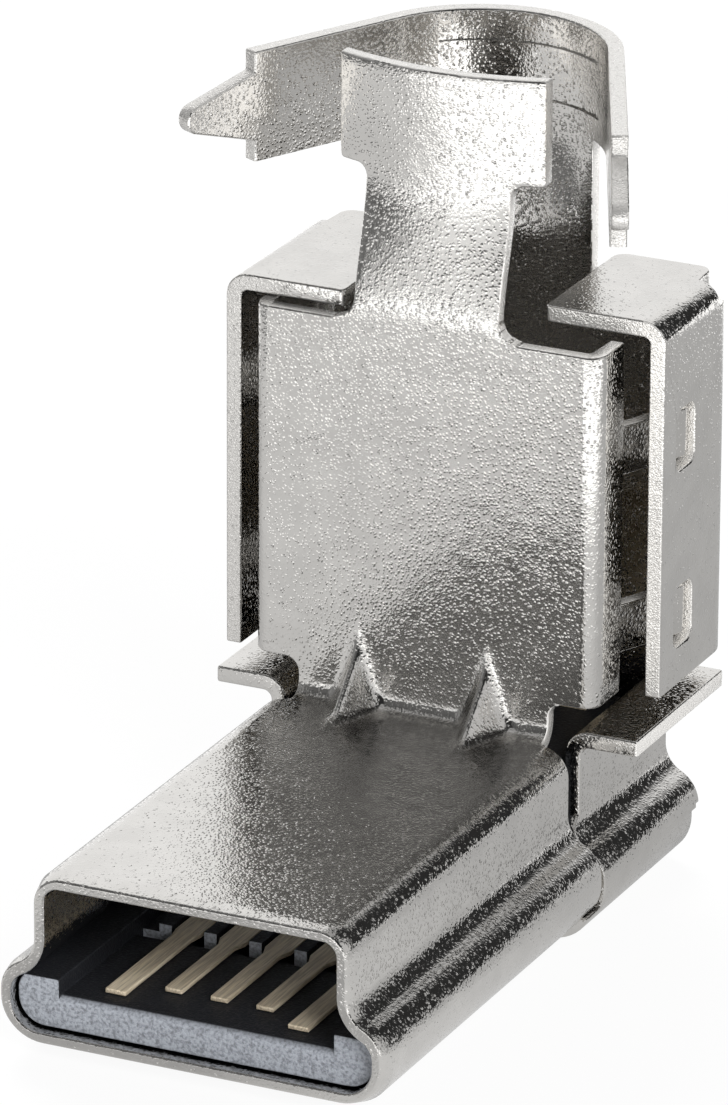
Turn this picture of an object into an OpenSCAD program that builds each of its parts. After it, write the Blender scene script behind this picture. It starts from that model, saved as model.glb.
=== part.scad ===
// Right-angle mini-B cable plug in kit form, before its cable is fitted:
// a front shield, a rear shield, a moulded contact carrier and five contacts.
// Millimetres. Z is the cable axis, the nose points along -Y and the tray stands on Z = 0.

/* [Sheet metal] */
// Sheet thickness of the front shield
front_t = 0.25; // [0.2:0.01:0.28]
// Sheet thickness of the rear shield
rear_t = 0.28; // [0.22:0.01:0.3]

/* [Nose] */
// Width across the bulge of the nose
nose_w = 6.8; // [6.6:0.05:7.0]
// Width of the narrow upper part of the nose
upper_w = 5.58; // [5.4:0.02:5.7]
// Height of the nose
nose_h = 3; // [2.9:0.05:3.2]
// Distance from the cable axis to the mouth of the nose
nose_reach = 10.7; // [10.2:0.1:12]
// Radius of the lower corners of the nose
base_r = 0.75; // [0.6:0.05:0.8]
// Radius of the shoulder of the bulge
bulge_r = 0.6; // [0.5:0.02:0.66]
// Radius of the cove below the narrow part
cove_r = 0.52; // [0.46:0.02:0.6]
// Height at which the shoulder of the bulge starts
bulge_z = 0.87; // [0.82:0.01:0.95]
// Radius of the upper corners of the nose
top_r = 0.5; // [0.4:0.05:0.55]
// Step in of the lead-in round the mouth
lead_in = 0.08; // [0.04:0.01:0.1]
// Length of the lead-in
lead_len = 0.3; // [0.2:0.05:0.5]

/* [Front plate] */
// Distance from the cable axis to the face of the plate
plate_reach = 2.11; // [2.0:0.01:2.3]
// Width of the plate over its side folds
plate_w = 6.18; // [6.0:0.02:6.4]
// Height of the plate from its lower corners to its shoulders
plate_h = 6.05; // [5.6:0.05:6.6]
// Height of the plate's lower corners above the nose
plate_lift = 0.6; // [0.5:0.02:0.7]
// Inner radius of the bend between the nose and the plate
bend_r = 0.24; // [0.15:0.01:0.3]
// Length of that bend
bend_w = 4.5; // [4:0.1:4.6]
// Radius of the bend reliefs
relief_r = 0.25; // [0.15:0.01:0.25]
// Outer radius of the side folds
side_fold_r = 0.3; // [0.29:0.01:0.4]
// Depth of the side flanges, from the face of the plate
flange_d = 0.96; // [0.8:0.02:1.0]

/* [Stiffening darts] */
// Distance of each dart from the middle of the plate
dart_x = 1.15; // [0.9:0.05:1.5]
// Height of a dart above the nose
dart_h = 1.04; // [0.8:0.02:1.2]
// Width of a dart at the bend
dart_w = 0.92; // [0.6:0.02:1]
// Radius along the crest of a dart
dart_crest_r = 0.07; // [0.04:0.01:0.1]

/* [Front cable rest] */
// Width of the front neck
neck_w = 2.56; // [2.3:0.02:2.8]
// Height of the neck above the shoulders
neck_h = 2.5; // [2.2:0.05:3]
// Fillet radius between the shoulders and the neck
shoulder_r = 0.38; // [0.2:0.02:0.4]
// Width of the head on the neck
head_w = 3.64; // [3.4:0.02:3.8]
// Height of the head
head_h = 1.8; // [1.4:0.05:2.2]
// Fillet radius below the head
head_notch_r = 0.2; // [0.1:0.02:0.24]
// Radius of the head's lower corners
head_corner_r = 0.08; // [0.04:0.01:0.12]
// How far the head stands behind the face of the plate
head_lean = 0.31; // [0.1:0.01:0.4]
// Radius to which the head is curved round the cable
head_curve_r = 5; // [4:0.5:8]

/* [Latches] */
// Height of a latch tongue
latch_w = 0.84; // [0.6:0.02:1]
// Height of the lower latches above the plate's lower corners
latch_low = 1.1; // [0.9:0.05:1.4]
// Distance between the lower and upper latches
latch_pitch = 3.08; // [2.6:0.05:3.4]
// Length of a latch tongue behind its flange
latch_reach = 1.35; // [1.2:0.05:1.5]
// Length of a latch's flat end
hook_len = 0.15; // [0.1:0.01:0.2]
// How far a latch stands into the wall of the can
latch_bite = 0.18; // [0.1:0.01:0.2]
// Clearance of a latch in its window
latch_clear = 0.1; // [0.05:0.01:0.12]
// Corner radius of the windows
window_r = 0.2; // [0.1:0.01:0.25]

/* [Can] */
// Clearance between the side flanges and the can
side_gap = 0.36; // [0.3:0.01:0.42]
// Set-back of the right wall's front edge behind the face of the plate
right_front = 1.13; // [1.05:0.01:1.2]
// Set-back of the left wall's front edge behind the face of the plate
left_front = 0.34; // [0.3:0.01:0.6]
// Distance from the cable axis to the back of the can
back_reach = 1.9; // [1.85:0.01:1.98]
// Outer radius of the can's upright corners
can_r = 0.65; // [0.5:0.05:0.75]
// Outer radius of the folds to the top flanges
top_fold_r = 0.4; // [0.34:0.01:0.5]
// Height of the can's lower edges above the ears
can_lift = 0.36; // [0.3:0.01:0.5]
// Clearance between the plate's shoulders and the top flanges
flange_gap = 0.06; // [0.04:0.01:0.2]
// Gap between the rear neck and each top flange
flange_clear = 0.33; // [0.25:0.01:0.5]
// Corner radius at the back of the top flanges
flange_corner_r = 0.25; // [0.1:0.01:0.3]

/* [Tray] */
// How far the tray stands below the nose
tray_drop = 0.17; // [0.1:0.01:0.2]
// Width over the ears
ear_w = 7.56; // [7.2:0.02:7.8]
// Height of the ears above the nose
ear_rise = 0.16; // [0.1:0.01:0.2]
// Inner radius of the bend to the ears
ear_r = 0.15; // [0.1:0.01:0.2]
// Gap between the nose and the tray along the bulge
seam_gap = 0.05; // [0.03:0.01:0.08]
// Gap between the nose and the tray along the narrow part
wall_gap = 0.34; // [0.2:0.01:0.4]
// Reach of the tray's floor below the nose
tongue_len = 0.5; // [0.3:0.02:0.7]
// Height of the tongue's sides
tongue_h = 0.45; // [0.4:0.01:0.5]
// Gap between the tray and the back wall
tray_end_gap = 0.12; // [0.08:0.01:0.2]
// Outer radius of the bend from the floor to the back wall
heel_r = 0.6; // [0.5:0.02:0.7]
// Width of the back wall below the can
heel_w = 5; // [4.4:0.1:5.2]
// Lower edge of the rear flaps
flap_low = 0.92; // [0.85:0.01:1]
// Height of the rear flaps
flap_h = 0.66; // [0.5:0.02:0.7]
// Distance from the middle to the inner end of a rear flap
flap_in = 2; // [1.6:0.05:2.3]

/* [Crimp band] */
// Inner radius of the band round the cable
crimp_r = 2.02; // [1.9:0.02:2.2]
// Height of the band
band_h = 1.86; // [1.6:0.02:2.2]
// Width of the rear neck
rear_neck_w = 2.54; // [2.2:0.02:2.8]
// Height of the rear neck above the top flanges
rear_neck_h = 1.98; // [1.6:0.02:2.4]
// Angle at which the right arm stands open
right_flare = 24.8; // [15:0.2:40]
// Angle at which the left arm stands open
left_flare = 26.4; // [15:0.2:40]
// Length of the right arm
right_arm = 4.35; // [3:0.05:5]
// Length of the left arm
left_arm = 3.05; // [2.4:0.05:4]
// Length of the tab at the end of an arm
tab_len = 1.36; // [1:0.02:1.6]
// Step down from the top of the band to a tab
tab_step = 0.35; // [0.25:0.01:0.45]
// Height of a tab at its root
tab_h = 1.16; // [0.9:0.02:1.2]
// Radius of a tab's tip
tab_tip_r = 0.24; // [0.1:0.01:0.26]
// Depth of the grip grooves inside the band
groove_d = 0.05; // [0.03:0.01:0.08]
// Width of a grip groove
groove_w = 0.16; // [0.1:0.01:0.2]
// Distance between the two grip grooves
groove_pitch = 0.93; // [0.6:0.01:1.2]

/* [Contact carrier] */
// Clearance of the carrier in the shields
carrier_fit = 0.03; // [0.02:0.005:0.05]
// Distance of the carrier's front behind the mouth
carrier_back = 0.22; // [0.15:0.01:0.5]
// Thickness of the carrier's floor
floor_t = 0.57; // [0.5:0.01:0.6]
// Chamfer along the front edge of the floor
lip_c = 0.1; // [0.05:0.01:0.14]
// Height of the side rails above the floor
rail_h = 0.27; // [0.15:0.01:0.4]
// Distance from the middle to the inner face of each rail
rail_in = 2.4; // [2.3:0.01:2.5]
// Depth of the cavity behind the mouth
cavity_d = 4.9; // [4.5:0.1:5.5]
// Distance from the mouth to the trench in front of the comb
trench_front = 2.92; // [2.6:0.02:3]
// Depth of the trench and of the contact slots
slot_d = 0.26; // [0.15:0.01:0.3]
// Width of a contact slot
slot_w = 0.58; // [0.54:0.01:0.62]
// Distance from the mouth to the front of the comb ribs
comb_front = 3.2; // [3.1:0.05:3.6]
// Height of the comb ribs above the floor
comb_h = 0.14; // [0.1:0.01:0.3]

/* [Contacts] */
// Distance between neighbouring contacts
pitch = 0.8; // [0.78:0.01:0.82]
// Width of the outer contacts
outer_w = 0.36; // [0.3:0.01:0.4]
// Width of the inner contacts
inner_w = 0.3; // [0.26:0.01:0.34]
// Width of the contacts behind the comb
root_w = 0.46; // [0.42:0.01:0.5]
// Thickness of the contact strip
contact_t = 0.08; // [0.07:0.01:0.12]
// Height of the contacts above the carrier's floor
contact_lift = 0.02; // [0.01:0.01:0.06]
// Distance from the mouth to the tips of the outer contacts
outer_tip = 0.62; // [0.6:0.01:0.9]
// Distance from the mouth to the tips of the inner contacts
inner_tip = 1.07; // [0.95:0.01:1.4]
// Distance from the cable axis to the solder tails
tail_y = 0.4; // [0.2:0.05:0.8]
// Height of the solder tails above the carrier
tail_h = 2.8; // [2:0.1:3.5]
// Inner radius of the bend to the solder tails
tail_r = 0.2; // [0.1:0.02:0.3]
// Clearance of the contacts in the carrier
contact_fit = 0.01; // [0.005:0.005:0.02]

/* [Hidden] */

// Segments of a quarter turn in the drawn outlines
arc_n = 12;
// Margin by which cutters pass the faces that they cut
past = 1;
// Depth by which joined shapes of one piece run into each other
weld = 0.1;

// Heights of the nose
nose_z = tray_drop;
nose_top = nose_z + nose_h;
shoulder_turn = acos(1 - (nose_w - upper_w)/2/(bulge_r + cove_r));
cove_z = bulge_z + (bulge_r + cove_r)*sin(shoulder_turn);

// Front shield, front to back and bottom to top
mouth_y = -nose_reach;
plate_y = -plate_reach;
nose_end = plate_y - bend_r;
bend_top = nose_top + bend_r;
corner_z = nose_top + plate_lift;
shoulder_z = corner_z + plate_h;
head_z = shoulder_z + neck_h;
head_top = head_z + head_h;
flange_y = plate_y + flange_d;
latch_zs = [corner_z + latch_low, corner_z + latch_low + latch_pitch];
latch_end = flange_y + latch_reach;

// Rear shield
can_in = plate_w/2 + side_gap;
can_out = can_in + rear_t;
ear_top = nose_top + ear_rise;
can_z = ear_top + can_lift;
can_top = shoulder_z + flange_gap + rear_t;
wall_top = can_top - top_fold_r;
right_y = plate_y + right_front;
left_y = plate_y + left_front;
flange_in = rear_neck_w/2 + flange_clear;
tray_wall_y = nose_end + wall_gap;
tray_bulge_y = nose_end + seam_gap;
tongue_y = nose_end - tongue_len;
tray_end = back_reach - rear_t - tray_end_gap;
flap_top = flap_low + flap_h;
hook_x = can_in + latch_bite;
ramp_len = latch_reach - hook_len;
// Where the ramp of a latch meets the inner face of the can
ramp_y = flange_y + ramp_len*side_gap/(side_gap + latch_bite);
window_front = ramp_y - latch_clear;
window_back = latch_end + latch_clear;
window_h = latch_w + 2*latch_clear;

// Crimp band
crimp_out = crimp_r + rear_t;
band_z = can_top + rear_neck_h;
tab_z = band_h - tab_step - tab_h;
tip_z = tab_z + tab_h/2;

// Carrier and contacts
carrier_y = mouth_y + carrier_back;
carrier_low = nose_z + front_t + carrier_fit;
floor_z = carrier_low + floor_t;
rail_z = floor_z + rail_h;
cavity_y = mouth_y + cavity_d;
block_top = nose_top - front_t - carrier_fit;
block_end = tray_end - rear_t - tray_end_gap;
strip_z = floor_z + contact_lift;
tail_top = block_top + tail_h;
contact_w = [outer_w, inner_w, inner_w, inner_w, outer_w];
contact_tip = [outer_tip, inner_tip, inner_tip, inner_tip, outer_tip];

steel = "#b9b6b0";
bright = "#c4c2bd";
black = "#26272b";
gold = "#8f7d55";

// Points along an arc about c, from angle a to angle b
function arc(c, r, a, b, n = arc_n) = [for (i = [0:n]) c + r*[cos(a + (b - a)*i/n), sin(a + (b - a)*i/n)]];

// The same points on the other side of the middle, in reverse order
function flip(pts) = [for (i = [len(pts) - 1:-1:0]) [-pts[i][0], pts[i][1]]];

function back_order(pts) = [for (i = [len(pts) - 1:-1:0]) pts[i]];

// Eased step from 0 to 1
function ease(t) = let (c = max(0, min(1, t))) c*c*(3 - 2*c);

function mix(a, b, t) = a + (b - a)*t;

// Lower right part of the nose outline, set in by d: lower corner, shoulder and cove
function bulge_side(d) = concat(
    arc([nose_w/2 - base_r, base_r], base_r - d, -90, 0),
    arc([nose_w/2 - bulge_r, bulge_z], bulge_r - d, 0, shoulder_turn),
    arc([upper_w/2 + cove_r, cove_z], cove_r + d, 180 + shoulder_turn, 180)
);

// Closed outline of the nose, set in by d, standing on 0
function nose_outline(d) = let (
    right = concat(bulge_side(d), arc([upper_w/2 - top_r, nose_h - top_r], top_r - d, 0, 90))
) concat(right, flip(right));

// Right half of the tray's sheet: up the outside, round the ear and down the inside
function tray_half() = let (
    c = [upper_w/2 + ear_r, ear_top - rear_t - ear_r]
) concat(
    bulge_side(0),
    arc(c, ear_r, 180, 90),
    [[ear_w/2, ear_top - rear_t], [ear_w/2, ear_top]],
    arc(c, ear_r + rear_t, 90, 180),
    back_order(bulge_side(rear_t))
);

// Rectangle with corner radii in the order low left, low right, high right, high left
function round_rect(lo, hi, r) = concat(
    arc([lo[0] + r[0], lo[1] + r[0]], r[0], 180, 270),
    arc([hi[0] - r[1], lo[1] + r[1]], r[1], 270, 360),
    arc([hi[0] - r[2], hi[1] - r[2]], r[2], 0, 90),
    arc([lo[0] + r[3], hi[1] - r[3]], r[3], 90, 180)
);

// A drawing in X and Z, run from y0 to y1
module along_y(y0, y1) {
    translate([0, y1, 0])
        rotate([90, 0, 0])
            linear_extrude(y1 - y0)
                children();
}

// A drawing in Y and Z, run from x0 to x1
module along_x(x0, x1) {
    translate([x0, 0, 0])
        rotate([90, 0, 90])
            linear_extrude(x1 - x0)
                children();
}

// A drawing in X and Y, run from z0 to z1
module along_z(z0, z1) {
    translate([0, 0, z0])
        linear_extrude(z1 - z0)
            children();
}

module both_sides() {
    children();
    mirror([1, 0, 0]) children();
}

module block(lo, hi) {
    translate(lo)
        cube(hi - lo);
}

// A bent sheet over the grid xs by zs, between the surfaces y = front(x, z) and y = back(x, z)
module bent_sheet(xs, zs, front, back) {
    nx = len(xs);
    nz = len(zs);
    n = nx*nz;
    points = concat(
        [for (z = zs) for (x = xs) [x, front(x, z), z]],
        [for (z = zs) for (x = xs) [x, back(x, z), z]]
    );
    face_quads = [for (j = [0:nz - 2]) for (i = [0:nx - 2])
        [j*nx + i, (j + 1)*nx + i, (j + 1)*nx + i + 1, j*nx + i + 1]];
    end_quads = [for (i = [0:nx - 2]) for (j = [0, nz - 1])
        j == 0 ? [i + 1, n + i + 1, n + i, i]
               : [n + j*nx + i, n + j*nx + i + 1, j*nx + i + 1, j*nx + i]];
    side_quads = [for (j = [0:nz - 2]) for (i = [0, nx - 1])
        let (a = j*nx + i, d = (j + 1)*nx + i)
        i == 0 ? [n + a, n + d, d, a] : [d, n + d, n + a, a]];
    quads = concat(
        face_quads,
        [for (q = face_quads) [n + q[3], n + q[2], n + q[1], n + q[0]]],
        end_quads,
        side_quads
    );
    polyhedron(points, [for (q = quads) for (k = [1, 2]) [q[0], q[k], q[k + 1]]]);
}

// End of an outline that closes in by d over a length l, its large end at y, its small end towards -Y
module lead_end(y, d, l) {
    translate([0, y, nose_h/2])
        rotate([90, 0, 0])
            linear_extrude(l, scale = [1 - 2*d/nose_w, 1 - 2*d/nose_h])
                translate([0, -nose_h/2])
                    polygon(nose_outline(0));
}

// Drawn tube of the nose, with the notch for the tray's tongue
module nose_tube() {
    difference() {
        translate([0, 0, nose_z])
            difference() {
                union() {
                    along_y(mouth_y + lead_len, nose_end)
                        polygon(nose_outline(0));
                    lead_end(mouth_y + lead_len, lead_in, lead_len);
                }
                along_y(mouth_y - past, nose_end + past)
                    polygon(nose_outline(front_t));
            }
        block([-nose_w, tongue_y - seam_gap, -past], [nose_w, past, tongue_h + seam_gap]);
    }
}

// Bend from the top of the nose into the plate
module nose_bend() {
    c = [nose_end, bend_top];
    along_x(-bend_w/2, bend_w/2)
        polygon(concat(
            [[nose_end - weld, nose_top]],
            arc(c, bend_r, -90, 0),
            [[plate_y, corner_z + weld], [plate_y + front_t, corner_z + weld]],
            arc(c, bend_r + front_t, 0, -90),
            [[nose_end - weld, nose_top - front_t]]
        ));
}

// Foot of the plate with the rounded bend reliefs
module plate_foot() {
    right = concat(
        [[bend_w/2, bend_top]],
        arc([bend_w/2 + relief_r, corner_z - relief_r], relief_r, 180, 90),
        [[bend_w/2 + relief_r, corner_z + weld]]
    );
    along_y(plate_y, plate_y + front_t)
        polygon(concat(right, flip(right)));
}

// Plate with its side flanges, seen from above
function channel_half() = let (c = [plate_w/2 - side_fold_r, plate_y + side_fold_r]) concat(
    arc(c, side_fold_r, -90, 0),
    [[plate_w/2, flange_y], [plate_w/2 - front_t, flange_y]],
    arc(c, side_fold_r - front_t, 0, -90)
);

// A springy tongue that leaves a side flange and hooks into a window of the can, seen from above
module latch_tongue() {
    out = plate_w/2;
    miter = front_t*tan(atan((hook_x - out)/ramp_len)/2);
    polygon([
        [out, flange_y - weld],
        [out, flange_y],
        [hook_x, flange_y + ramp_len],
        [hook_x, latch_end],
        [hook_x - front_t, latch_end],
        [hook_x - front_t, flange_y + ramp_len + miter],
        [out - front_t, flange_y + miter],
        [out - front_t, flange_y - weld]
    ]);
}

// Outline of the neck and head, right half, from just below the shoulders up
function neck_half() = concat(
    [[neck_w/2 + shoulder_r, shoulder_z - weld]],
    arc([neck_w/2 + shoulder_r, shoulder_z + shoulder_r], shoulder_r, 270, 180),
    arc([neck_w/2 + head_notch_r, head_z - head_notch_r], head_notch_r, 180, 90),
    arc([head_w/2 - head_corner_r, head_z + head_corner_r], head_corner_r, -90, 0),
    [[head_w/2, head_top]]
);

// Neck and head, leaning back and curving round the cable
module cable_rest() {
    half_w = head_w/2 + weld;
    columns = 14;
    rows = 12;
    xs = [for (i = [0:columns]) -half_w + 2*half_w*i/columns];
    zs = concat([shoulder_z - 2*weld], [for (j = [0:rows]) shoulder_z + neck_h*j/rows], [head_top + weld]);
    face = function (x, z) plate_y + ease((z - shoulder_z)/neck_h)*(head_lean + x*x/(2*head_curve_r));
    intersection() {
        bent_sheet(xs, zs, face, function (x, z) face(x, z) + front_t);
        along_y(plate_y - past, plate_y + front_t + past)
            polygon(concat(neck_half(), flip(neck_half())));
    }
}

// Pressed dart that bridges the bend
module dart() {
    hull() {
        translate([0, plate_y, nose_top + dart_h])
            sphere(dart_crest_r, $fn = 16);
        translate([0, plate_y - dart_h, nose_top])
            sphere(dart_crest_r, $fn = 16);
        translate([0, plate_y, nose_top])
            sphere(dart_w/2, $fn = 24);
    }
}

module front_shell() {
    reach = front_t/2;
    color(bright)
        difference() {
            union() {
                nose_tube();
                nose_bend();
                plate_foot();
                along_z(corner_z, shoulder_z)
                    polygon(concat(channel_half(), flip(channel_half())));
                cable_rest();
                for (z = latch_zs)
                    along_z(z - latch_w/2, z + latch_w/2)
                        both_sides()
                            latch_tongue();
                intersection() {
                    both_sides()
                        translate([dart_x, 0, 0])
                            dart();
                    block([-nose_w, mouth_y, nose_top - reach], [nose_w, plate_y + reach, shoulder_z]);
                }
            }
            both_sides()
                translate([dart_x, front_t, -front_t])
                    dart();
        }
}

// Formed sheet of the tray and its ears, with the stepped front edge and the trimmed back edge
module tray() {
    side = nose_w + ear_w;
    ramp = 0.2;
    difference() {
        along_y(tongue_y, tray_end)
            polygon(concat(tray_half(), flip(tray_half())));
        along_x(-side, side)
            polygon([
                [tongue_y - past, tongue_h],
                [tray_bulge_y, tongue_h],
                [tray_bulge_y, cove_z - ramp],
                [tray_wall_y, cove_z],
                [tray_wall_y, ear_top + past],
                [tongue_y - past, ear_top + past]
            ]);
        block([-side, tray_end - rear_t, -past], [side, tray_end + past, flap_low]);
    }
}

// Flaps folded in at the back of the bulge
module rear_flaps() {
    fold = rear_t/2;
    intersection() {
        union() {
            along_y(tray_end - rear_t, tray_end - fold)
                polygon(nose_outline(0));
            mirror([0, 1, 0])
                lead_end(fold - tray_end, fold, fold);
        }
        both_sides()
            block([flap_in, tray_end - rear_t, flap_low - weld], [nose_w, tray_end, flap_top]);
    }
}

// Bend from the tray's floor into the back wall, and the wall up to the can
module heel() {
    c = [back_reach - heel_r, heel_r];
    along_x(-heel_w/2, heel_w/2)
        polygon(concat(
            [[tray_end - rear_t - weld, 0]],
            arc(c, heel_r, -90, 0),
            [[back_reach, can_z + weld], [back_reach - rear_t, can_z + weld]],
            arc(c, heel_r - rear_t, 0, -90),
            [[tray_end - rear_t - weld, rear_t]]
        ));
}

// Walls of the can, seen from above
module can_walls() {
    r = can_r - rear_t;
    y = back_reach - can_r;
    polygon(concat(
        [[can_out, right_y]],
        arc([can_out - can_r, y], can_r, 0, 90),
        arc([can_r - can_out, y], can_r, 90, 180),
        [[-can_out, left_y], [-can_in, left_y]],
        arc([can_r - can_out, y], r, 180, 90),
        arc([can_out - can_r, y], r, 90, 0),
        [[can_in, right_y]]
    ));
}

// Top edge of the right wall folded over into its flange, from y to the back
module top_flange(y) {
    c = [can_out - top_fold_r, wall_top];
    small_r = 0.1;
    along_y(y, back_reach - can_r)
        polygon(concat(
            [[can_out, wall_top - weld]],
            arc(c, top_fold_r, 0, 90),
            [[flange_in + past/2, can_top], [flange_in + past/2, can_top - rear_t]],
            arc(c, top_fold_r - rear_t, 90, 0),
            [[can_in, wall_top - weld]]
        ));
    along_z(can_top - rear_t, can_top)
        polygon(round_rect(
            [flange_in, y],
            [can_out - top_fold_r, back_reach],
            [small_r, small_r/2, flange_corner_r, flange_corner_r]
        ));
}

// Rear neck, flat at the can and curved like the band at its top
module rear_neck() {
    columns = 12;
    rows = 10;
    inside = 0.01;
    half_w = rear_neck_w/2;
    xs = [for (i = [0:columns]) -half_w + 2*half_w*i/columns];
    zs = concat(
        [wall_top - weld],
        [for (j = [0:rows]) can_top + rear_neck_h*j/rows],
        [band_z + weld]
    );
    turn = function (z) ease((z - can_top)/rear_neck_h);
    bent_sheet(
        xs, zs,
        function (x, z) mix(back_reach - rear_t, sqrt(crimp_r*crimp_r - x*x) + inside, turn(z)),
        function (x, z) mix(back_reach, sqrt(crimp_out*crimp_out - x*x) - inside, turn(z))
    );
}

// Trims the end of an arm of length l, opened by the angle a, to its pointed tab
module arm_trim(l, a) {
    translate([crimp_out*cos(a), crimp_out*sin(a), band_z])
        rotate([0, 0, a - 90])
            along_y(-rear_t - past/2, past/2)
                difference() {
                    translate([l, -past])
                        square([tab_len + 2*past, band_h + 2*past]);
                    polygon(concat(
                        [[l - past, tab_z], [l, tab_z]],
                        arc([l + tab_len - tab_tip_r, tip_z], tab_tip_r, -80, 70),
                        [[l, tab_z + tab_h], [l - past, tab_z + tab_h]]
                    ));
                }
}

// Point at the distance l along an arm opened by the angle a, r from the cable axis at its root
function arm_point(l, a, r) = r*[cos(a), sin(a)] + l*[sin(a), -cos(a)];

// Band with its open arms, seen from above
module band_plan() {
    n = 3*arc_n;
    right = right_arm + tab_len;
    left = left_arm + tab_len;
    polygon(concat(
        [arm_point(right, right_flare, crimp_out)],
        arc([0, 0], crimp_out, right_flare, 180 - left_flare, n),
        flip([arm_point(left, left_flare, crimp_r), arm_point(left, left_flare, crimp_out)]),
        arc([0, 0], crimp_r, 180 - left_flare, right_flare, n),
        [arm_point(right, right_flare, crimp_r)]
    ));
}

module crimp_band() {
    groove_turn = 45;
    difference() {
        along_z(band_z, band_z + band_h)
            band_plan();
        arm_trim(right_arm, right_flare);
        mirror([1, 0, 0])
            arm_trim(left_arm, left_flare);
        for (k = [-0.5, 0.5])
            translate([0, 0, band_z + band_h/2 + k*groove_pitch])
                along_z(-groove_w/2, groove_w/2)
                    polygon(concat(
                        arc([0, 0], crimp_r + groove_d, groove_turn, 180 - groove_turn, 2*arc_n),
                        arc([0, 0], crimp_r - groove_d, 180 - groove_turn, groove_turn, 2*arc_n)
                    ));
    }
}

module rear_shell() {
    color(steel) {
        tray();
        rear_flaps();
        heel();
        difference() {
            union() {
                along_z(can_z, wall_top)
                    can_walls();
                top_flange(right_y);
                mirror([1, 0, 0])
                    top_flange(left_y);
            }
            for (z = latch_zs)
                along_x(-can_out - past, can_out + past)
                    polygon(round_rect(
                        [window_front, z - window_h/2],
                        [window_back, z + window_h/2],
                        [window_r, window_r, window_r, window_r]
                    ));
        }
        rear_neck();
        crimp_band();
    }
}

// Side view of contact i, grown by g
module contact_side(i, g) {
    y0 = mouth_y + contact_tip[i];
    c = [tail_y - contact_t - tail_r, strip_z + contact_t + tail_r];
    polygon(concat(
        [[y0 - g, strip_z - g]],
        arc(c, tail_r + contact_t + g, -90, 0),
        [[tail_y + g, tail_top + g], [tail_y - contact_t - g, tail_top + g]],
        arc(c, tail_r - g, 0, -90),
        [[y0 - g, strip_z + contact_t + g]]
    ));
}

// Contact i seen from above, right half: a narrow beam that widens to its root at the comb
function contact_half(i, g) = let (y = mouth_y + comb_front) [
    [contact_w[i]/2 + g, mouth_y],
    [contact_w[i]/2 + g, y - root_w/2],
    [root_w/2 + g, y],
    [root_w/2 + g, tail_y + past]
];

// Contact i, grown by g
module contact_blank(i, g) {
    translate([(i - 2)*pitch, 0, 0])
        intersection() {
            along_x(-pitch/2, pitch/2)
                contact_side(i, g);
            along_z(0, tail_top + past)
                polygon(concat(contact_half(i, g), flip(contact_half(i, g))));
        }
}

module contact(i) {
    color(gold)
        contact_blank(i, 0);
}

// Solid of the carrier before the contacts are set in: floor, rails, comb and block
module carrier_body() {
    inset = front_t + carrier_fit;
    comb_y = mouth_y + comb_front;
    intersection() {
        translate([0, 0, nose_z])
            along_y(carrier_y, nose_end)
                polygon(nose_outline(inset));
        union() {
            block([-nose_w, carrier_y, 0], [nose_w, nose_end, floor_z]);
            both_sides()
                block([rail_in, carrier_y, 0], [nose_w, nose_end, rail_z]);
            block([-nose_w, cavity_y, 0], [nose_w, nose_end, block_top + past]);
            for (k = [-3:2])
                translate([(k + 0.5)*pitch, 0, 0])
                    block(
                        [(slot_w - pitch)/2, comb_y, 0],
                        [(pitch - slot_w)/2, cavity_y + weld, floor_z + comb_h]
                    );
        }
    }
    intersection() {
        along_y(nose_end + carrier_fit, block_end)
            polygon(nose_outline(rear_t + carrier_fit));
        block([-nose_w, nose_end, 0], [nose_w, block_end, block_top]);
    }
    core = upper_w/2 - inset - weld;
    block([-core, nose_end - past/2, floor_z], [core, nose_end + past/2, block_top - weld]);
}

module contact_carrier() {
    comb_y = mouth_y + comb_front;
    top = floor_z + comb_h + past/4;
    color(black)
        difference() {
            carrier_body();
            along_x(-rail_in, rail_in)
                polygon([
                    [carrier_y - past, floor_z - lip_c - past],
                    [carrier_y + lip_c + past, floor_z + past],
                    [carrier_y - past, floor_z + past]
                ]);
            block([-rail_in, mouth_y + trench_front, floor_z - slot_d], [rail_in, comb_y, top]);
            for (i = [0:4])
                translate([(i - 2)*pitch, 0, 0])
                    block([-slot_w/2, comb_y - weld, floor_z - slot_d], [slot_w/2, cavity_y, top]);
            for (i = [0:4])
                contact_blank(i, contact_fit);
        }
}

front_shell();
rear_shell();
contact_carrier();
contact(0);  // contact_1
contact(1);  // contact_2
contact(2);  // contact_3
contact(3);  // contact_4
contact(4);  // contact_5
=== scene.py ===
# %% [markdown]
# A right-angle cable plug, as it stands before its cable is fitted
#
# The real object is a small kit of stamped and plated sheet metal round a black moulding: a nose
# that enters the socket, an upright plate and can, and an open band that is crimped round the
# cable. The solids come from the CAD frame, so the sizes are theirs. What this lesson adds is what
# the solids lack: broken edges, soft bends, plating, moulded plastic, thin gold, and the light.

# %% Load the frame
from itertools import combinations
from math import cos, radians, sin

import bmesh
import bpy
from mathutils import Matrix, Vector


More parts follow.
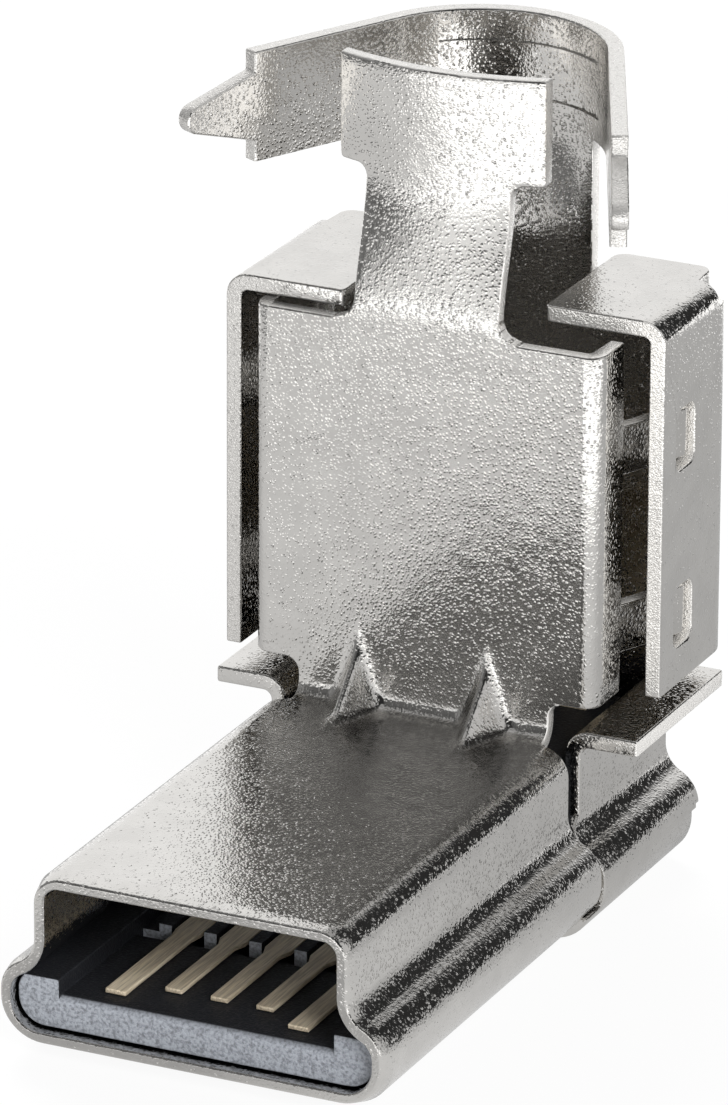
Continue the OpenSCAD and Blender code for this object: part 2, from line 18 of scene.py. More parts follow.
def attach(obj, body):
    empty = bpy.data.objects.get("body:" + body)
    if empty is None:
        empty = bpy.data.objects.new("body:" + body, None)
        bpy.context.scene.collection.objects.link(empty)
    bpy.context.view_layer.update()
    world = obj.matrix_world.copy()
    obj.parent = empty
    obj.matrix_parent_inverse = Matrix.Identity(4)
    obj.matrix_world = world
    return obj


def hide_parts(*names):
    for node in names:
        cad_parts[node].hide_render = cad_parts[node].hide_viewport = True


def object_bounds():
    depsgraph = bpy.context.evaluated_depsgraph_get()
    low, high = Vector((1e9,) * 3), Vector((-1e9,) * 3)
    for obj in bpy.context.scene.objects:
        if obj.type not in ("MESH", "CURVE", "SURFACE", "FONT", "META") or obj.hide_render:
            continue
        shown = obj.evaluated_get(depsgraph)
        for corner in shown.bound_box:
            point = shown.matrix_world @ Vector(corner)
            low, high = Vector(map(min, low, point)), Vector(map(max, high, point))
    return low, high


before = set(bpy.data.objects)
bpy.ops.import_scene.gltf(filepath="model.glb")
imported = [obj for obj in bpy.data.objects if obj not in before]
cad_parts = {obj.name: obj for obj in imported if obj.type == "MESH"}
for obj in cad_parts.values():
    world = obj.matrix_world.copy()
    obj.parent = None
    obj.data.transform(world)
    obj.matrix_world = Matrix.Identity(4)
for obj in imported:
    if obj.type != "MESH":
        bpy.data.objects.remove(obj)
cad_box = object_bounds()
MM = 0.001
scene = bpy.context.scene
scene.view_settings.view_transform = "Standard"
print("CAD box in mm:", [round(x / MM, 2) for corner in cad_box for x in corner])

# %% [markdown]
# The camera
#
# The photograph was taken from the front right and from a little above, with a long lens, so that
# parallel edges hardly run together. Eye, angles and focal length were found by laying the solids
# over the photograph. The camera is made from its own three axes: that needs no aiming and no
# helper object, and it holds for any picture size with the same proportions.

# %% Camera
EYE = Vector((62.656, -137.010, 63.843)) * MM
AZIMUTH, ELEVATION, ROLL = radians(25.283), radians(21.249), radians(0.263)
FOCAL_OF_LONG_SIDE = 8.9087
FILM_WIDTH_MM = 36
SEEN_FROM, SEEN_TO = 0.01, 5


def camera_axes(azimuth, elevation, roll):
    """Right, up and backward directions of a camera that looks at the object from these angles."""
    back = Vector((sin(azimuth) * cos(elevation), -cos(azimuth) * cos(elevation), sin(elevation)))
    level = Vector((cos(azimuth), sin(azimuth), 0))
    upright = back.cross(level)
    right = cos(roll) * level + sin(roll) * upright
    return right, back.cross(right), back


camera_data = bpy.data.cameras.new("camera")
camera_data.sensor_width = FILM_WIDTH_MM
camera_data.lens = FOCAL_OF_LONG_SIDE * FILM_WIDTH_MM
camera_data.clip_start, camera_data.clip_end = SEEN_FROM, SEEN_TO
camera = bpy.data.objects.new("camera", camera_data)
turned_axes = Matrix(camera_axes(AZIMUTH, ELEVATION, ROLL)).transposed()
camera.matrix_world = Matrix.Translation(EYE) @ turned_axes.to_4x4()
scene.collection.objects.link(camera)
scene.camera = camera
print("camera is", round(EYE.length / MM), "mm from the origin, lens", round(camera_data.lens, 1), "mm")

# %% [markdown]
# Writing shader sums as Python
#
# Node materials are sums and products of signals. One small class holds an output socket and takes
# Python's operators, so a mask can be written as 1 - mask instead of three lines of wiring. One
# method makes any other node: first the settings, then the values or links of the sockets. The
# nodes that are used most, a soft step, a tint and a reach in a direction, have names of their own.

# %% Signals
# the Mix node has sockets for every kind of data, and these are the ones for colours
MIX_DARK, MIX_LIGHT, MIX_COLOUR = 6, 7, 2


class Signal:
    """An output socket of a node tree that can be used in sums."""

    def __init__(self, tree, socket=None):
        self.tree, self.socket = tree, socket

    def node(self, kind, settings=None, sockets=None, out=0):
        """A new node of this kind, with its settings and with the values or links of its sockets."""
        made = self.tree.nodes.new(kind)
        for name, value in (settings or {}).items():
            setattr(made, name, value)
        for name, value in (sockets or {}).items():
            if isinstance(value, Signal):
                self.tree.links.new(value.socket, made.inputs[name])
            else:
                made.inputs[name].default_value = value
        return Signal(self.tree, made.outputs[out] if made.outputs else None)

    def sum(self, operation, first, second):
        return self.node("ShaderNodeMath", {"operation": operation}, {0: first, 1: second})

    def __add__(self, other):
        return self.sum("ADD", self, other)

    def __radd__(self, other):
        return self.sum("ADD", other, self)

    def __sub__(self, other):
        return self.sum("SUBTRACT", self, other)

    def __rsub__(self, other):
        return self.sum("SUBTRACT", other, self)

    def __mul__(self, other):
        return self.sum("MULTIPLY", self, other)

    def __rmul__(self, other):
        return self.sum("MULTIPLY", other, self)

    def step(self, low, high, result_low=0.0, result_high=1.0):
        """A soft step: result_low below low, result_high above high, smooth between them."""
        ends = {"From Min": low, "From Max": high, "To Min": result_low, "To Max": result_high}
        return self.node("ShaderNodeMapRange", {"interpolation_type": "SMOOTHSTEP"}, {"Value": self, **ends})

    def tint(self, dark, light):
        """A colour between two, with this signal as the share of the second."""
        dark, light = [c if isinstance(c, Signal) else (*c, 1) for c in (dark, light)]
        sockets = {"Factor": self, MIX_DARK: dark, MIX_LIGHT: light}
        return self.node("ShaderNodeMix", {"data_type": "RGBA"}, sockets, out=MIX_COLOUR)

    def along(self, direction):
        """How far this vector reaches in a direction."""
        sockets = {0: self, 1: direction}
        return self.node("ShaderNodeVectorMath", {"operation": "DOT_PRODUCT"}, sockets, out="Value")


def cleared_tree(owner):
    """The empty node tree of a material or a world, ready for signals."""
    owner.use_nodes = True
    owner.node_tree.nodes.clear()
    return Signal(owner.node_tree)


print("signals take sums, products, soft steps and tints")

# %% [markdown]
# The room that the metal mirrors
#
# Bright plating has hardly a colour of its own: it shows the room. The photograph's white top faces
# mirror a large soft light behind and to the left, its grey sides mirror the table, and the dark
# speckled bands mirror an unlit part of the room. So the world is a soft picture of such a room,
# read by direction, and only the camera itself sees plain white.

# %% World
SOFT_LIGHTS = [
    # direction, how far it reaches (as the cosine where it ends and where it is full), brightness
    ((-0.50, 0.80, 0.36), 0.66, 0.88, 1.00),
    ((0.00, 0.00, 1.00), 0.80, 0.97, 0.40),
    ((0.95, 0.15, 0.30), 0.80, 0.95, 0.60),
    ((-1.00, -0.25, 0.30), 0.72, 0.95, 0.20),
    ((-0.40, -0.84, 0.40), 0.70, 0.97, 0.10),
]
UNLIT, STRIP = 0.03, 0.9
world = bpy.data.worlds.new("room")
scene.world = world
air = cleared_tree(world)
direction = air.node("ShaderNodeTexCoord", out="Generated")


def towards(x, y, z):
    """Cosine between the direction that is looked in and this one."""
    return direction.along(Vector((x, y, z)).normalized())


front_strip = towards(0.35, -0.94, 0).step(0.50, 0.75) * towards(0, 0, 1).step(0.12, 0.28, STRIP, 0.0)
brightness = front_strip + UNLIT
for aim, edge, full, level in SOFT_LIGHTS:
    brightness = brightness + towards(*aim).step(edge, full, 0.0, level)
room = air.node("ShaderNodeBackground", None, {"Color": brightness, "Strength": 1.0})
white = air.node("ShaderNodeBackground", None, {"Color": (1, 1, 1, 1), "Strength": 1.0})
seen = air.node("ShaderNodeLightPath", out="Is Camera Ray")
both = air.node("ShaderNodeMixShader", None, {0: seen, 1: room, 2: white})
air.node("ShaderNodeOutputWorld", None, {"Surface": both})
print("world with", len(SOFT_LIGHTS), "soft lights")

# %% [markdown]
# The table
#
# A pale round table carries the plug. The camera sees it almost white, as in the photograph, with
# a trace of the shadow left; the metal sees it pale grey, with painted light far to the front and far
# to the back, painted shade far to the left, and a painted shadow of the nose before its mouth.

# %% Table top
TABLE_RADIUS, TABLE_GAP = 120 * MM, 0.02 * MM
bm = bmesh.new()
bmesh.ops.create_circle(bm, cap_ends=True, segments=96, radius=TABLE_RADIUS)
table_mesh = bpy.data.meshes.new("table")
bm.to_mesh(table_mesh)
bm.free()
table = bpy.data.objects.new("table", table_mesh)
table.location.z = cad_box[0].z - TABLE_GAP
scene.collection.objects.link(table)
print("table", round(TABLE_RADIUS * 2 / MM), "mm across")

# %% Table paper
# painted light: the table is drawn brighter towards the front and towards the back
TABLE_LIGHTS = [
    # direction, where the change begins and ends in mm, brightness before and after it
    ((0, -1, 0), -2, 10, 0.53, 0.74),
    ((0.5, -0.87, 0), 20, 29, 0.0, 1.1),
    ((-0.5, 0.87, 0), 18, 28, 0.0, 0.9),
]
# painted shade far to the left and a painted shadow of the nose before its mouth, both seen only by the
# metal
FAR_LEFT, FAR_LEFT_DIM = (-0.85, -0.35, 0), 0.15
MOUTH_SHADOW, MOUTH_DIM = (-1.5 * MM, -14 * MM, 0), 0.6
PAPER_GREY, PLAIN_WHITE = 0.86, 0.92
paper = bpy.data.materials.new("white_table")
sheet = cleared_tree(paper)
camera_ray = sheet.node("ShaderNodeLightPath", out="Is Camera Ray")
glossy_ray = sheet.node("ShaderNodeLightPath", out="Is Glossy Ray")
place = sheet.node("ShaderNodeTexCoord", out="Object")
lit = 0
for aim, begins, ends, before, after in TABLE_LIGHTS:
    lit = lit + place.along(aim).step(begins * MM, ends * MM, before, after)
sockets = {0: place, 1: MOUTH_SHADOW}
from_mouth = sheet.node("ShaderNodeVectorMath", {"operation": "DISTANCE"}, sockets, out="Value")
mirrored = lit * place.along(FAR_LEFT).step(45 * MM, 85 * MM, 1.0, FAR_LEFT_DIM)
mirrored = mirrored * from_mouth.step(2 * MM, 6 * MM, MOUTH_DIM, 1.0)
shown = mirrored + camera_ray * (1 - mirrored)
bright = sheet.node("ShaderNodeEmission", None, {"Color": shown, "Strength": 1.0})
matt = sheet.node("ShaderNodeBsdfDiffuse", None, {"Color": (PAPER_GREY, PAPER_GREY, PAPER_GREY, 1)})
share = camera_ray * PLAIN_WHITE + glossy_ray
mixed = sheet.node("ShaderNodeMixShader", None, {0: share, 1: matt, 2: bright})
sheet.node("ShaderNodeOutputMaterial", None, {"Surface": mixed})
table_mesh.materials.append(paper)
print("table lit from", len(TABLE_LIGHTS), "sides")

# %% [markdown]
# Lamps
#
# Two large area lamps do the rest: a key from behind and to the left, where the world is bright
# too, and a fill from the front right. Both are many times as large as the plug, which keeps
# shadows soft. The camera doesn't see them.

# %% Lamps
LAMPS = {
    # name: (position in mm, size in mm, power in watts)
    "key": ((-130, 170, 190), 160, 0.8),
    "fill": ((190, -150, 150), 160, 0.8),
}
for name, (position, size, power) in LAMPS.items():
    lamp_data = bpy.data.lights.new(name, "AREA")
    lamp_data.shape, lamp_data.size, lamp_data.energy = "DISK", size * MM, power
    lamp = bpy.data.objects.new(name, lamp_data)
    lamp.location = Vector(position) * MM
    lamp.rotation_euler = (-lamp.location).to_track_quat("-Z", "Y").to_euler()
    lamp.visible_camera = lamp.visible_glossy = False
    scene.collection.objects.link(lamp)
print("lamps:", ", ".join(LAMPS))

# %% [markdown]
# Nickel plating
#
# The sheet is steel with bright nickel on it. Nickel copies the rolled grain below it and adds a
# fine orange peel, lumps some hundredths of a millimetre across and only a few microns high. On a
# mirror such lumps matter more than any colour: where the room is dark, each lump picks up a spark
# of the light. So the grain is bump, and the colour hardly varies. Where the punch cut the sheet,
# the faces are rougher and only partly plated; a mark on the mesh says which faces those are.
# Cut faces on the right and below the band are drawn paler than the rest: that is painted light.

# %% Nickel
# sizes of the patterns are given as repeats per metre
LUMPS, DRIFT, GRIT, WAVE, PATCHES = 17000, 18000, 40000, 4200, 1500
DRIFT_REACH, PEEL_DEPTH = 0.04 * MM, 0.005 * MM
# the last of these is painted light: how much paler the cut faces on the right and below the band are drawn
SHADED, CUT_GREY, CUT_PAINTED_LIGHT = 0.92, 0.95, 1.35
CUT_BARE, CUT_ROUGHER, CUT_GRITTIER = 0.35, 0.08, 1.2
DULL = 0.10


def finished(material, shader):
    """Ends a material with this shader and returns the material."""
    shader.node("ShaderNodeOutputMaterial", None, {"Surface": shader})
    return material


def nickel(name, colour, turn):
    """Bright nickel on rolled sheet: orange peel, a slow wave, and rougher cut faces, with painted light on
    those to the right.
    """
    material = bpy.data.materials.new(name)
    tree = cleared_tree(material)
    place = tree.node("ShaderNodeTexCoord", out="Object")
    turned = tree.node("ShaderNodeMapping", None, {"Vector": place, "Rotation": turn})
    cut = tree.node("ShaderNodeAttribute", {"attribute_name": "cut"}, out="Fac")

    def noise(scale, detail=0.0, rough=0.5, out="Fac"):
        sockets = {"Vector": turned, "Scale": scale, "Detail": detail, "Roughness": rough}
        return tree.node("ShaderNodeTexNoise", None, sockets, out=out)

    sockets = {0: noise(DRIFT, 1.0, out="Color"), 1: (DRIFT_REACH,) * 3, 2: turned}
    warped = tree.node("ShaderNodeVectorMath", {"operation": "MULTIPLY_ADD"}, sockets)
    lump, chance = [
        tree.node("ShaderNodeTexVoronoi", None, {"Vector": warped, "Scale": LUMPS}, out=value)
        for value in ("Distance", "Color")
    ]
    height = lump.step(0.0, 0.62, 1.0, 0.0) * chance.step(0.6, 0.85, 0.75, 1.8)
    height = height + noise(GRIT) * (0.3 + cut * CUT_GRITTIER) + noise(WAVE)
    grain = tree.node("ShaderNodeBump", None, {"Height": height, "Strength": 1.0, "Distance": PEEL_DEPTH})
    patches = noise(PATCHES, 3.0, 0.6)
    shaded, grey, pale = [tuple(c * share for c in colour) for share in (SHADED, CUT_GREY, CUT_PAINTED_LIGHT)]
    plated = patches.step(0.3, 0.7).tint(shaded, colour)
    # painted light: cut faces on the right and below the band are drawn paler, as if lit from the right
    across, up = [tree.node("ShaderNodeSeparateXYZ", None, {0: place}, out=axis) for axis in "XZ"]
    below_band = up.step(11.8 * MM, 12.1 * MM, 1.0, 0.0)
    cut_with_painted_light = (across.step(-2 * MM, 1 * MM) * below_band).tint(grey, pale)
    sockets = {
        "Base Color": cut.tint(plated, cut_with_painted_light),
        "Metallic": 1 - cut * CUT_BARE,
        "Roughness": patches.step(0.35, 0.75, DULL - 0.03, DULL + 0.04) + cut * CUT_ROUGHER,
        "Normal": grain,
    }
    return finished(material, tree.node("ShaderNodeBsdfPrincipled", None, sockets))


front_nickel = nickel("front_plating", (0.73, 0.715, 0.69), (0.3, 0.2, 0.1))
rear_nickel = nickel("rear_plating", (0.72, 0.705, 0.68), (1.1, 0.7, 0.4))
print("plating:", front_nickel.name, rear_nickel.name)

# %% [markdown]
# Black moulding
#
# The carrier is a glass-filled plastic. Its front faces came off a spark-eroded tool and look
# frosted, pale blue-grey, while the floor behind them is nearly black. The frosting is a mask on the
# surface's own direction: faces that look out of the mouth get it, the others don't.
# Faces deeper in, in the shade of the nose, get more of the pale colour than the lip: that is painted light.

# %% Moulding
CRACKLE, MOULD_GRIT = 13000, 20000
MOULD_DEPTH = 0.008 * MM
BLACK, FROST = (0.016, 0.017, 0.020), (0.84, 0.89, 0.98)
# the lip's share of the pale colour; deeper faces get all of it, which is painted light
LIP_FROST_SHARE = 0.45


def moulding(name):
    """Black glass-filled plastic with frosted faces towards the mouth, and painted light on those deeper in.
    """
    material = bpy.data.materials.new(name)
    tree = cleared_tree(material)
    place = tree.node("ShaderNodeTexCoord", out="Object")
    outwards = tree.node("ShaderNodeNewGeometry", out="Normal").along((0, -1, 0))
    sockets = {"Vector": place, "Scale": CRACKLE}
    crackle = tree.node("ShaderNodeTexVoronoi", {"feature": "DISTANCE_TO_EDGE"}, sockets, out="Distance")
    sockets = {"Vector": place, "Scale": MOULD_GRIT, "Detail": 3.0}
    grit = tree.node("ShaderNodeTexNoise", None, sockets, out="Fac")
    forward = tree.node("ShaderNodeSeparateXYZ", None, {0: place}, out="Y")
    frost_and_painted_light = outwards.step(0.35, 0.9) * grit.step(0.25, 0.65, 0.45, 1.0)
    # painted light: faces deeper than the lip are drawn paler, to lift them out of the nose's shade
    frost_and_painted_light = frost_and_painted_light * forward.step(-8 * MM, -7 * MM, LIP_FROST_SHARE, 1.0)
    height = grit * 0.6 + crackle.step(0.0, 0.25) * 0.4
    grain = tree.node("ShaderNodeBump", None, {"Height": height, "Strength": 1.0, "Distance": MOULD_DEPTH})
    sockets = {
        "Base Color": frost_and_painted_light.tint(BLACK, FROST),
        "Roughness": grit.step(0.2, 0.8, 0.45, 0.7),
        "Specular IOR Level": 0.4,
        "Normal": grain,
    }
    return finished(material, tree.node("ShaderNodeBsdfPrincipled", None, sockets))


black_moulding = moulding("black_moulding")
print("moulding:", black_moulding.name)

# %% [markdown]
# Gold on the contacts
#
# The contacts are stamped from bronze strip and carry a thin layer of gold, drawn out along the
# strip. Streaks that are long along the nose and short across it give that: the pattern's
# coordinates are simply stretched before the noise reads them.

# %% Gold
STREAKS, SPOTS = (30000, 1500, 30000), 9000
STREAK_DEPTH = 0.003 * MM
WORN_GOLD, FULL_GOLD = (0.60, 0.50, 0.36), (0.98, 0.85, 0.64)


def thin_gold(name):
    """Thin gold on drawn strip: streaks along the contact, darker where the layer is thin."""
    material = bpy.data.materials.new(name)
    tree = cleared_tree(material)
    place = tree.node("ShaderNodeTexCoord", out="Object")
    drawn = tree.node("ShaderNodeMapping", None, {"Vector": place, "Scale": STREAKS})
    sockets = {"Vector": drawn, "Scale": 1.0, "Detail": 3.0}
    streak = tree.node("ShaderNodeTexNoise", None, sockets, out="Fac")
    sockets = {"Vector": place, "Scale": SPOTS, "Detail": 2.0}
    spots = tree.node("ShaderNodeTexNoise", None, sockets, out="Fac")
    height = streak * 0.6 + spots * 0.4
    grain = tree.node("ShaderNodeBump", None, {"Height": height, "Strength": 1.0, "Distance": STREAK_DEPTH})
    sockets = {
        "Base Color": streak.step(0.3, 0.7).tint(WORN_GOLD, FULL_GOLD),
        "Metallic": 0.3,
        "Roughness": spots.step(0.3, 0.7, 0.30, 0.42),
        "Normal": grain,
    }
    return finished(material, tree.node("ShaderNodeBsdfPrincipled", None, sockets))


contact_gold = thin_gold("contact_metal")
print("gold:", contact_gold.name)

# %% [markdown]
# The bent neck
#
# Above its shoulders the front plate narrows to a neck that was bent back and hollowed round the
# cable. The solid has flat facets there, which a mirror shows at once. Its facets are joined, cut
# into a fine grid, and every point of the grid is set on the bent surface. Cuts stay well away from
# the rims, so that the broken edges that follow have room.

# %% Neck surface
PLATE_Y, NOSE_TOP, SHOULDER_Z, HEAD_Z = -2.11 * MM, 3.17 * MM, 9.82 * MM, 12.32 * MM
HEAD_LEAN, HEAD_CURVE_R, FRONT_SHEET = 0.31 * MM, 5.0 * MM, 0.25 * MM
NEAR, ON_PLANE, NECK_MERGE = 0.001 * MM, 1e-8, 0.03 * MM
# rows are counted from the shoulders up and columns from the middle out, in mm
NECK_ROWS = [0.13 + 0.125 * i for i in range(19)]
HEAD_ROWS = [2.68 + 0.2 * i for i in range(8)]
NECK_COLUMNS = (0, 0.2, 0.4, 0.6, 0.8, 1.0, 1.14, 1.42, 1.6)
FRONT, BACK = 1, 2
UPRIGHT = 0.7


def slice_faces(bm, faces, point, normal):
    """Cuts these faces along a plane."""
    edges, verts = {e for f in faces for e in f.edges}, {v for f in faces for v in f.verts}
    bmesh.ops.bisect_plane(bm, geom=[*faces, *edges, *verts], dist=ON_PLANE, plane_co=point, plane_no=normal)


def neck_front(x, z):
    """Depth of the neck's front face: flat at the shoulders, set back and curved at the head."""
    share = max(0.0, min(1.0, (z - SHOULDER_Z) / (HEAD_Z - SHOULDER_Z)))
    return PLATE_Y + share * share * (3 - 2 * share) * (HEAD_LEAN + x * x / (2 * HEAD_CURVE_R))


def smooth_neck(bm):
    """Replaces the neck's facets by a fine grid that lies on the bent surface, front and back."""
    side, soft = bm.faces.layers.int.new("neck_side"), bm.faces.layers.int.new("soft")

    def neck_faces():
        return [f for f in bm.faces if f[side]]

    for face in bm.faces:
        if min(v.co.z for v in face.verts) > SHOULDER_Z - NEAR and abs(face.normal.y) > UPRIGHT:
            face[side] = FRONT if face.normal.y < 0 else BACK
            face[soft] = 1
    for which in (FRONT, BACK):
        bmesh.ops.dissolve_faces(bm, faces=[f for f in bm.faces if f[side] == which])
    for row in NECK_ROWS + HEAD_ROWS:
        slice_faces(bm, neck_faces(), (0, 0, SHOULDER_Z + row * MM), (0, 0, 1))
    for column in NECK_COLUMNS:
        for sign in (1, -1):
            slice_faces(bm, neck_faces(), (sign * column * MM, 0, 0), (1, 0, 0))
    raised = [v for v in bm.verts if v.co.z > SHOULDER_Z + NEAR]
    bmesh.ops.remove_doubles(bm, verts=raised, dist=NECK_MERGE)
    for face in neck_faces():
        for vert in face.verts:
            vert.co.y = neck_front(vert.co.x, vert.co.z) + (FRONT_SHEET if face[side] == BACK else 0)
    print("neck grid of", len(neck_faces()), "faces")


print("head set back by", round((neck_front(0, HEAD_Z) - PLATE_Y) / MM, 2), "mm")

# %% [markdown]
# Pressed darts
#
# Two darts stiffen the bend between nose and plate. A small punch pressed them from behind after the
# sheet was bent, so each is a soft ridge that runs out into the plate and the nose. Looked at square
# to the bend, the surface is one height over a flat field: the larger of the bend's own height and
# the ridge's, with a soft passage between the two. So each dart's field becomes one face, which is
# cut into a grid, and the grid is set on that height.

# %% Dart height
DART_X, DART_CREST, BEND_R = 1.15 * MM, 1.04 * MM, 0.24 * MM
FLANK, CREST_R, PASSAGE = 2.0, 0.05 * MM, 0.34 * MM
UPWARDS, OUTWARDS = Vector((0, 1, 1)).normalized(), Vector((0, -1, 1)).normalized()
CORNER = Vector((0, PLATE_Y, NOSE_TOP))
DIAGONAL = 2 ** 0.5


def dart_height(x, along):
    """Height over the corner line between nose and plate; along runs from the nose up to the plate."""
    bend = abs(along)
    if bend < BEND_R / DIAGONAL:
        bend = BEND_R * DIAGONAL - (BEND_R ** 2 - along ** 2) ** 0.5
    aside = abs(x) - DART_X
    ridge = DART_CREST / DIAGONAL - FLANK * ((aside ** 2 + CREST_R ** 2) ** 0.5 - CREST_R)
    return max(bend, ridge) + max(PASSAGE - abs(bend - ridge), 0) ** 2 / (4 * PASSAGE)


print("darts stand", round((dart_height(DART_X, 0) - dart_height(0, 0)) / MM, 2), "mm over the bend")

# %% Darts
FIELD_X, FIELD_ALONG = 0.75 * MM, 1.08 * MM
DART_COLUMN, DART_COLUMNS = 0.05 * MM, 14
DART_ROW, DART_ROWS = 0.06 * MM, 17
BOTH_SIDES = 1, -1


def along_bend(point):
    """How far a point lies up the plate (above 0) or out on the nose (below 0)."""
    return (point - CORNER).dot(UPWARDS)


def press_darts(bm):
    """Cuts the field of each dart into a fine grid and sets it on the pressed surface."""

    def outside():
        """The front of the plate and the top of the nose."""
        low, high = PLATE_Y + NEAR, NOSE_TOP - NEAR
        return [f for f in bm.faces if all(v.co.y < low and v.co.z > high for v in f.verts)]

    def band():
        return [f for f in outside() if abs(along_bend(f.calc_center_median())) < FIELD_ALONG]

    def fields():
        return [f for f in band() if abs(abs(f.calc_center_median().x) - DART_X) < FIELD_X]

    for sign in BOTH_SIDES:
        slice_faces(bm, outside(), CORNER + sign * FIELD_ALONG * UPWARDS, UPWARDS)
    for x in (DART_X - FIELD_X, DART_X + FIELD_X):
        for sign in BOTH_SIDES:
            slice_faces(bm, band(), (sign * x, 0, 0), (1, 0, 0))
    for sign in BOTH_SIDES:
        bmesh.ops.dissolve_faces(bm, faces=[f for f in fields() if f.calc_center_median().x * sign > 0])
    for i in range(-DART_ROWS, DART_ROWS + 1):
        slice_faces(bm, fields(), CORNER + DART_ROW * i * UPWARDS, UPWARDS)
    for i in range(-DART_COLUMNS, DART_COLUMNS + 1):
        for sign in BOTH_SIDES:
            slice_faces(bm, fields(), (sign * DART_X + DART_COLUMN * i, 0, 0), (1, 0, 0))
    for vert in {v for f in fields() for v in f.verts}:
        along, foot = along_bend(vert.co), Vector((vert.co.x, PLATE_Y, NOSE_TOP))
        vert.co = foot + along * UPWARDS + dart_height(vert.co.x, along) * OUTWARDS
    soft = bm.faces.layers.int["soft"]
    for face in fields():
        face[soft] = 1
    print("dart grid of", len(fields()), "faces")


print("dart fields of", round(2 * FIELD_X / MM, 2), "by", round(2 * FIELD_ALONG / MM, 2), "mm")

# %% [markdown]
# The seam
#
# The nose ends where the tray of the rear shield begins, and a narrow dark gap shows between the
# two. The solids keep it small; on the real part the nose was cut a little shorter. Moving the
# rear rim's points is enough, because the walls that end there are straight.

# %% Seam
BEND_HALF, SEAM = 2.25 * MM, 0.09 * MM


def open_seam(bm):
    """Sets the nose's rear rim back from the tray, but for the width of the bend."""
    rim = [v for v in bm.verts if abs(v.co.y - PLATE_Y + BEND_R) < 2 * NEAR and v.co.z < NOSE_TOP + NEAR]
    below_top = NOSE_TOP - FRONT_SHEET - NEAR
    rim = [v for v in rim if v.co.z < below_top or abs(v.co.x) > BEND_HALF + NEAR]
    for vert in rim:
        vert.co.y -= SEAM
    print("seam opened at", len(rim), "points")


def shape_front(bm):
    """All that the front shield needs before its edges are broken."""
    open_seam(bm)
    smooth_neck(bm)
    press_darts(bm)
    # the cuts leave some points in the middle of an edge
    bmesh.ops.dissolve_verts(bm, verts=[v for v in bm.verts if len(v.link_edges) == 2])


print("seam", round(SEAM / MM, 2), "mm wider than in the solids")

# %% [markdown]
# Cut faces
#
# A punch leaves the sheet's rims rougher and barer than its plated faces. On the mesh such a face
# is easy to find: it is narrow and has two sharp edges one sheet thickness apart. The mark is a
# face attribute that the plating reads. Below the top of the nose the rims lie in narrow gaps,
# where a pale rim would shine, so they keep the plating's look.

# %% Cut faces
PUNCHED, PARALLEL = radians(60), 0.97
WIDEST, LEAST_APART, MOST_APART = 1.02, 0.6, 1.1


def heading(edge):
    """Direction of an edge."""
    start, end = edge.verts
    return (end.co - start.co).normalized()


def one_sheet_apart(first, second, sheet):
    """True for parallel edges with about one sheet thickness between them."""
    between = second.verts[0].co - first.verts[0].co
    gap = (between - between.dot(heading(first)) * heading(first)).length
    parallel = abs(heading(first).dot(heading(second))) > PARALLEL
    return parallel and LEAST_APART * sheet < gap < MOST_APART * sheet


def mark_cut_faces(bm, sheet):
    """Marks the faces that the punch left, and counts them."""
    mark = bm.faces.layers.float.new("cut")
    for face in bm.faces:
        width = 2 * face.calc_area() / face.calc_perimeter()
        if width > WIDEST * sheet or face.calc_center_median().z < NOSE_TOP:
            continue
        rims = [e for e in face.edges if len(e.link_faces) == 2 and e.calc_face_angle() > PUNCHED]
        if any(one_sheet_apart(*pair, sheet) for pair in combinations(rims, 2)):
            face[mark] = 1.0
    return sum(f[mark] > 0 for f in bm.faces)


print("cut faces are up to", round(MOST_APART * FRONT_SHEET / MM, 3), "mm wide on the front shield")

# %% [markdown]
# Broken edges
#
# A stamped and tumbled edge is never sharp: it is broken by a few hundredths of a millimetre, and
# that narrow band is what shows as a white line in the photograph. A Bevel modifier breaks every
# sharp edge that has room for it. Edges of faces narrower than the break stay as they are, or the
# mesh would fold over, and so do some that don't show or run into a bend.

# %% Edges to break
SHARP, ROOM = radians(28), 1.1
BAND_Z, RIM_HALF, LIP_Y = 12.14 * MM, 0.02 * MM, -9.9 * MM
DIMPLE_REACH, DIMPLE_DEPTH = 1.3 * MM, 0.02 * MM


def on_low_rim(place):
    """The band's lower rim, where the rear neck runs into it."""
    return abs(place.z - BAND_Z) < RIM_HALF


def in_dimple(place):
    """The hollows that the punch left behind the darts, inside the bend."""
    away = Vector((0, place.y, place.z)) - CORNER
    beside = abs(place.x) < BEND_HALF - NEAR and away.length < DIMPLE_REACH
    return beside and away.dot(OUTWARDS) < -DIMPLE_DEPTH


def behind_lip(place):
    """All of the carrier but its front."""
    return place.y > LIP_Y


def nowhere(place):
    return False


def sharp(edge):
    return len(edge.link_faces) == 2 and edge.calc_face_angle() > SHARP


def weigh_edges(bm, width, kept):
    """Marks the sharp edges to be broken; those of narrow faces and between kept points stay sharp."""
    weight, soft = bm.edges.layers.float.new("bevel_weight_edge"), bm.faces.layers.int.get("soft")
    edges = [e for e in bm.edges if sharp(e) and not (soft and all(f[soft] for f in e.link_faces))]
    rim = {}
    for edge in edges:
        for face in edge.link_faces:
            rim[face] = rim.get(face, 0.0) + edge.calc_length()
    narrow = {f for f in rim if f.calc_area() < ROOM * width * rim[f]}
    for edge in edges:
        edge.smooth = narrow.isdisjoint(edge.link_faces) and not all(kept(v.co) for v in edge.verts)
        edge[weight] = 1.0 if edge.smooth else 0.0
    return sum(e.smooth for e in edges), len(edges)


print("edges over", round(SHARP / radians(1)), "degrees count as sharp")

# %% [markdown]
# Dressed copies
#
# Each solid is copied, its loose triangles are merged and its flat areas joined, so that a face of
# the real piece is one face of the mesh. Then the copy gets its marks, its bends and its broken
# edges. Weighted normals keep the flat faces flat next to them, which a mirror needs.

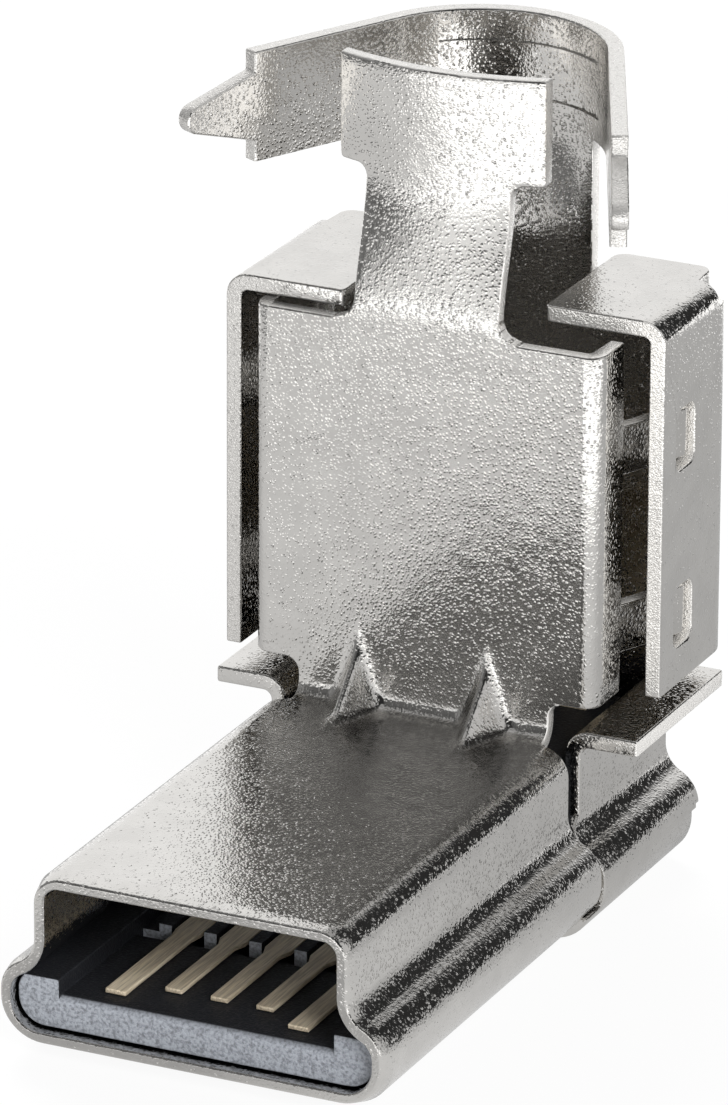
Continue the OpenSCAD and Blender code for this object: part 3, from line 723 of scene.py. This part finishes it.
# %% Copying a solid
SHEET_MERGE, FINE_MERGE, FLAT = 0.025 * MM, 0.003 * MM, radians(0.05)
LARGE_FACES_FIRST = 100


def joined_copy(node, merge):
    """A bmesh of a CAD node with merged points and joined flat areas."""
    bm = bmesh.new()
    bm.from_mesh(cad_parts[node].data)
    bmesh.ops.remove_doubles(bm, verts=bm.verts, dist=merge)
    bmesh.ops.dissolve_limit(
        bm, angle_limit=FLAT, use_dissolve_boundaries=False, verts=bm.verts, edges=bm.edges, delimit=set()
    )
    return bm


def break_edges(piece, width, steps):
    """Adds the modifiers that break the marked edges and keep flat faces flat."""
    bevel = piece.modifiers.new("broken_edges", "BEVEL")
    bevel.width, bevel.segments, bevel.limit_method = width, steps, "WEIGHT"
    bevel.use_clamp_overlap, bevel.profile = False, 0.5
    bevel.face_strength_mode = "FSTR_ALL"
    weighted = piece.modifiers.new("flat_faces", "WEIGHTED_NORMAL")
    weighted.keep_sharp, weighted.use_face_influence = True, True
    weighted.weight = LARGE_FACES_FIRST


def dressed(node, slot, material, edge, steps=2, sheet=None, refine=None, kept=nowhere):
    """A copy of a CAD node with broken edges that stands for it."""
    bm = joined_copy(node, SHEET_MERGE if sheet else FINE_MERGE)
    if sheet:
        print(node, "has", mark_cut_faces(bm, sheet), "cut faces")
    if refine:
        refine(bm)
    bm.normal_update()
    print(node, "has %d of %d sharp edges broken" % weigh_edges(bm, edge, kept))
    for face in bm.faces:
        face.smooth = True
    mesh = bpy.data.meshes.new(node + "_dressed")
    bm.to_mesh(mesh)
    bm.free()
    mesh.materials.append(material)
    piece = bpy.data.objects.new(node + "_dressed", mesh)
    scene.collection.objects.link(piece)
    break_edges(piece, edge, steps)
    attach(piece, "root")
    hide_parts(node)
    return piece


print("points nearer than", round(SHEET_MERGE / MM, 3), "mm are merged on the shields")

# %% Dressed copies
REAR_SHEET = 0.28 * MM
SHIELD_EDGE, CARRIER_EDGE, CONTACT_EDGE = 0.04 * MM, 0.03 * MM, 0.012 * MM
SHIELD_STEPS, CONTACTS = 3, 5
front = {"sheet": FRONT_SHEET, "refine": shape_front, "kept": in_dimple}
rear = {"sheet": REAR_SHEET, "kept": on_low_rim}
pieces = [
    dressed("front_shell", "front_plating", front_nickel, SHIELD_EDGE, SHIELD_STEPS, **front),
    dressed("rear_shell", "rear_plating", rear_nickel, SHIELD_EDGE, SHIELD_STEPS, **rear),
    dressed("contact_carrier", "black_moulding", black_moulding, CARRIER_EDGE, kept=behind_lip),
]
for number in range(1, CONTACTS + 1):
    pieces.append(dressed("contact_%d" % number, "contact_metal", contact_gold, CONTACT_EDGE))
print("dressed:", ", ".join(p.name for p in pieces))
